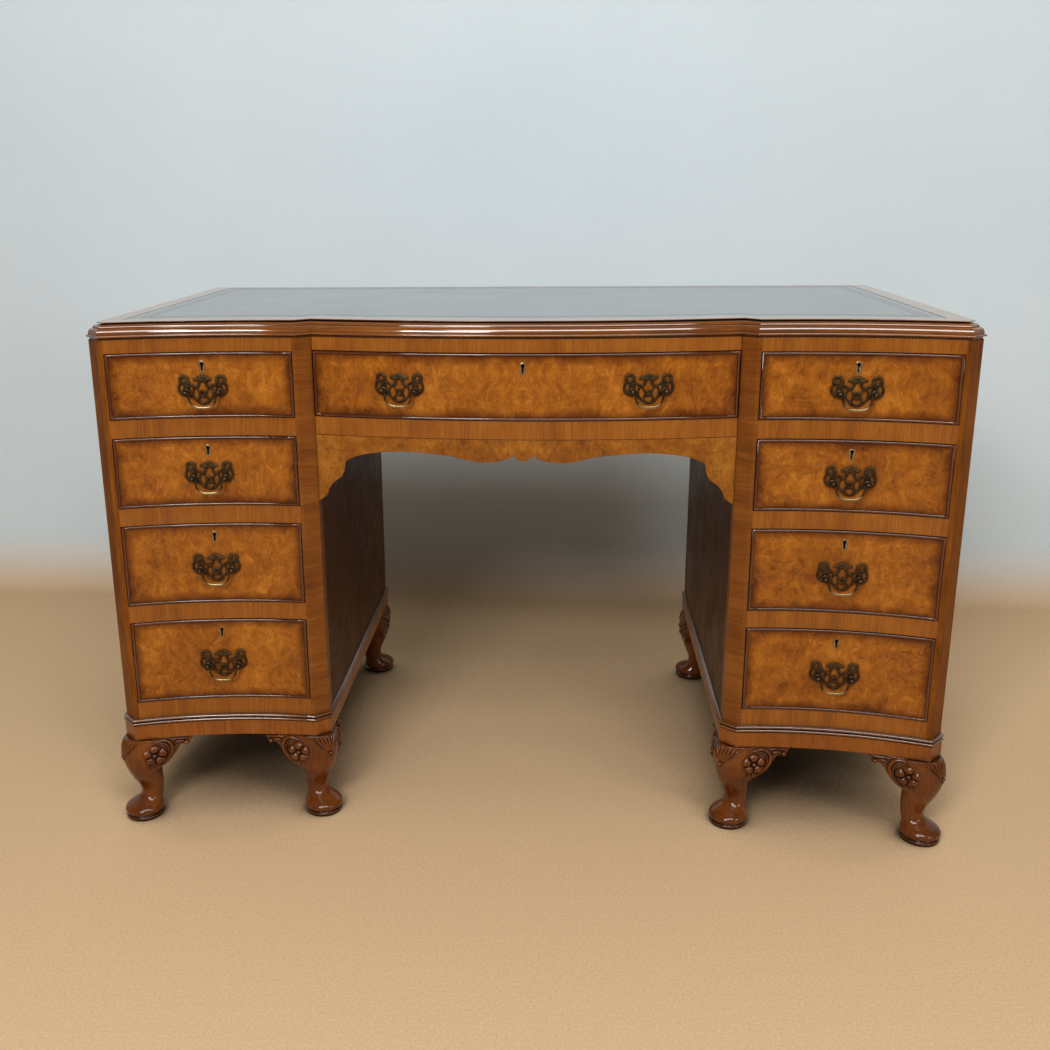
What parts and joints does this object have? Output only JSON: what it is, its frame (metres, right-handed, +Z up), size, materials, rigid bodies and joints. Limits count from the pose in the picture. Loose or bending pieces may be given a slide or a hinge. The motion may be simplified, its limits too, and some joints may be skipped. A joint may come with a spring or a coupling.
{
  "type": "kneehole writing desk",
  "caption": "Serpentine-fronted burr walnut kneehole desk with a leather-lined moulded top, drawer pedestals, a wide centre drawer over a shaped apron, and carved cabriole legs.",
  "frame": {"origin": "on the floor under the middle of the desk", "axes": "+X to the right seen from the front, +Y to the back, +Z up; the drawers open towards -Y"},
  "size_m": [1.26, 0.64, 0.776],
  "materials": {
    "walnut": "polished straight-grained walnut crossbanding, mid brown",
    "burr_walnut": "polished burr walnut veneer, golden brown with darker edges",
    "carved_walnut": "polished carved walnut, reddish brown with dark recesses",
    "drawer_oak": "dry planed oak",
    "green_leather": "dark green-black hide with tooled border lines, satin",
    "bronzed_brass": "dark bronzed brass, rubbed bright at the grip"
  },
  "bodies": {
    "carcass": {"top_board": "walnut", "leather_inset": "green_leather", "left_outer_side": "walnut", "left_inner_side": "walnut", "left_front_frame": "walnut", "left_plinth": "walnut", "left_back_panel": "walnut", "right_outer_side": "walnut", "right_inner_side": "walnut", "right_front_frame": "walnut", "right_plinth": "walnut", "right_back_panel": "walnut", "centre_frieze_frame": "walnut", "centre_apron": "walnut", "left_outer_front_leg": "carved_walnut", "left_inner_front_leg": "carved_walnut", "left_outer_rear_leg": "carved_walnut", "left_inner_rear_leg": "carved_walnut", "right_outer_front_leg": "carved_walnut", "right_inner_front_leg": "carved_walnut", "right_outer_rear_leg": "carved_walnut", "right_inner_rear_leg": "carved_walnut"},
    "left_drawer_1": {"left_drawer_1_front": "burr_walnut", "left_drawer_1_box": "drawer_oak", "left_drawer_1_handle_plate": "bronzed_brass"},
    "left_drawer_2": {"left_drawer_2_front": "burr_walnut", "left_drawer_2_box": "drawer_oak", "left_drawer_2_handle_plate": "bronzed_brass"},
    "left_drawer_3": {"left_drawer_3_front": "burr_walnut", "left_drawer_3_box": "drawer_oak", "left_drawer_3_handle_plate": "bronzed_brass"},
    "left_drawer_4": {"left_drawer_4_front": "burr_walnut", "left_drawer_4_box": "drawer_oak", "left_drawer_4_handle_plate": "bronzed_brass"},
    "right_drawer_1": {"right_drawer_1_front": "burr_walnut", "right_drawer_1_box": "drawer_oak", "right_drawer_1_handle_plate": "bronzed_brass"},
    "right_drawer_2": {"right_drawer_2_front": "burr_walnut", "right_drawer_2_box": "drawer_oak", "right_drawer_2_handle_plate": "bronzed_brass"},
    "right_drawer_3": {"right_drawer_3_front": "burr_walnut", "right_drawer_3_box": "drawer_oak", "right_drawer_3_handle_plate": "bronzed_brass"},
    "right_drawer_4": {"right_drawer_4_front": "burr_walnut", "right_drawer_4_box": "drawer_oak", "right_drawer_4_handle_plate": "bronzed_brass"},
    "centre_drawer": {"centre_drawer_front": "burr_walnut", "centre_drawer_box": "drawer_oak", "centre_drawer_left_handle_plate": "bronzed_brass", "centre_drawer_right_handle_plate": "bronzed_brass"},
    "left_drawer_1_bail": {"left_drawer_1_handle_bail": "bronzed_brass"},
    "left_drawer_2_bail": {"left_drawer_2_handle_bail": "bronzed_brass"},
    "left_drawer_3_bail": {"left_drawer_3_handle_bail": "bronzed_brass"},
    "left_drawer_4_bail": {"left_drawer_4_handle_bail": "bronzed_brass"},
    "right_drawer_1_bail": {"right_drawer_1_handle_bail": "bronzed_brass"},
    "right_drawer_2_bail": {"right_drawer_2_handle_bail": "bronzed_brass"},
    "right_drawer_3_bail": {"right_drawer_3_handle_bail": "bronzed_brass"},
    "right_drawer_4_bail": {"right_drawer_4_handle_bail": "bronzed_brass"},
    "centre_drawer_left_bail": {"centre_drawer_left_handle_bail": "bronzed_brass"},
    "centre_drawer_right_bail": {"centre_drawer_right_handle_bail": "bronzed_brass"}
  },
  "joints": [
    {"name": "left_drawer_1_slide", "type": "slide", "parent": "carcass", "child": "left_drawer_1", "axis": [0, -1, 0], "range_m": [0, 0.4]},
    {"name": "left_drawer_2_slide", "type": "slide", "parent": "carcass", "child": "left_drawer_2", "axis": [0, -1, 0], "range_m": [0, 0.4]},
    {"name": "left_drawer_3_slide", "type": "slide", "parent": "carcass", "child": "left_drawer_3", "axis": [0, -1, 0], "range_m": [0, 0.4]},
    {"name": "left_drawer_4_slide", "type": "slide", "parent": "carcass", "child": "left_drawer_4", "axis": [0, -1, 0], "range_m": [0, 0.4]},
    {"name": "right_drawer_1_slide", "type": "slide", "parent": "carcass", "child": "right_drawer_1", "axis": [0, -1, 0], "range_m": [0, 0.4]},
    {"name": "right_drawer_2_slide", "type": "slide", "parent": "carcass", "child": "right_drawer_2", "axis": [0, -1, 0], "range_m": [0, 0.4]},
    {"name": "right_drawer_3_slide", "type": "slide", "parent": "carcass", "child": "right_drawer_3", "axis": [0, -1, 0], "range_m": [0, 0.4]},
    {"name": "right_drawer_4_slide", "type": "slide", "parent": "carcass", "child": "right_drawer_4", "axis": [0, -1, 0], "range_m": [0, 0.4]},
    {"name": "centre_drawer_slide", "type": "slide", "parent": "carcass", "child": "centre_drawer", "axis": [0, -1, 0], "range_m": [0, 0.4]},
    {"name": "left_drawer_1_bail_hinge", "type": "hinge", "parent": "left_drawer_1", "child": "left_drawer_1_bail", "pos_m": [-0.45689, -0.28839, 0.67573], "axis": [-0.9941, -0.1087, 0], "range_deg": [-20, 200]},
    {"name": "left_drawer_2_bail_hinge", "type": "hinge", "parent": "left_drawer_2", "child": "left_drawer_2_bail", "pos_m": [-0.45689, -0.28839, 0.54896], "axis": [-0.9941, -0.1087, 0], "range_deg": [-20, 200]},
    {"name": "left_drawer_3_bail_hinge", "type": "hinge", "parent": "left_drawer_3", "child": "left_drawer_3_bail", "pos_m": [-0.45689, -0.28839, 0.40748], "axis": [-0.9941, -0.1087, 0], "range_deg": [-20, 200]},
    {"name": "left_drawer_4_bail_hinge", "type": "hinge", "parent": "left_drawer_4", "child": "left_drawer_4_bail", "pos_m": [-0.45689, -0.28839, 0.25325], "axis": [-0.9941, -0.1087, 0], "range_deg": [-20, 200]},
    {"name": "right_drawer_1_bail_hinge", "type": "hinge", "parent": "right_drawer_1", "child": "right_drawer_1_bail", "pos_m": [0.45689, -0.28839, 0.67573], "axis": [-0.9941, 0.1087, 0], "range_deg": [-20, 200]},
    {"name": "right_drawer_2_bail_hinge", "type": "hinge", "parent": "right_drawer_2", "child": "right_drawer_2_bail", "pos_m": [0.45689, -0.28839, 0.54896], "axis": [-0.9941, 0.1087, 0], "range_deg": [-20, 200]},
    {"name": "right_drawer_3_bail_hinge", "type": "hinge", "parent": "right_drawer_3", "child": "right_drawer_3_bail", "pos_m": [0.45689, -0.28839, 0.40748], "axis": [-0.9941, 0.1087, 0], "range_deg": [-20, 200]},
    {"name": "right_drawer_4_bail_hinge", "type": "hinge", "parent": "right_drawer_4", "child": "right_drawer_4_bail", "pos_m": [0.45689, -0.28839, 0.25325], "axis": [-0.9941, 0.1087, 0], "range_deg": [-20, 200]},
    {"name": "centre_drawer_left_bail_hinge", "type": "hinge", "parent": "centre_drawer", "child": "centre_drawer_left_bail", "pos_m": [-0.17525, -0.29088, 0.67923], "axis": [-0.9927, 0.1208, 0], "range_deg": [-20, 200]},
    {"name": "centre_drawer_right_bail_hinge", "type": "hinge", "parent": "centre_drawer", "child": "centre_drawer_right_bail", "pos_m": [0.17525, -0.29088, 0.67923], "axis": [-0.9927, -0.1208, 0], "range_deg": [-20, 200]}
  ]
}
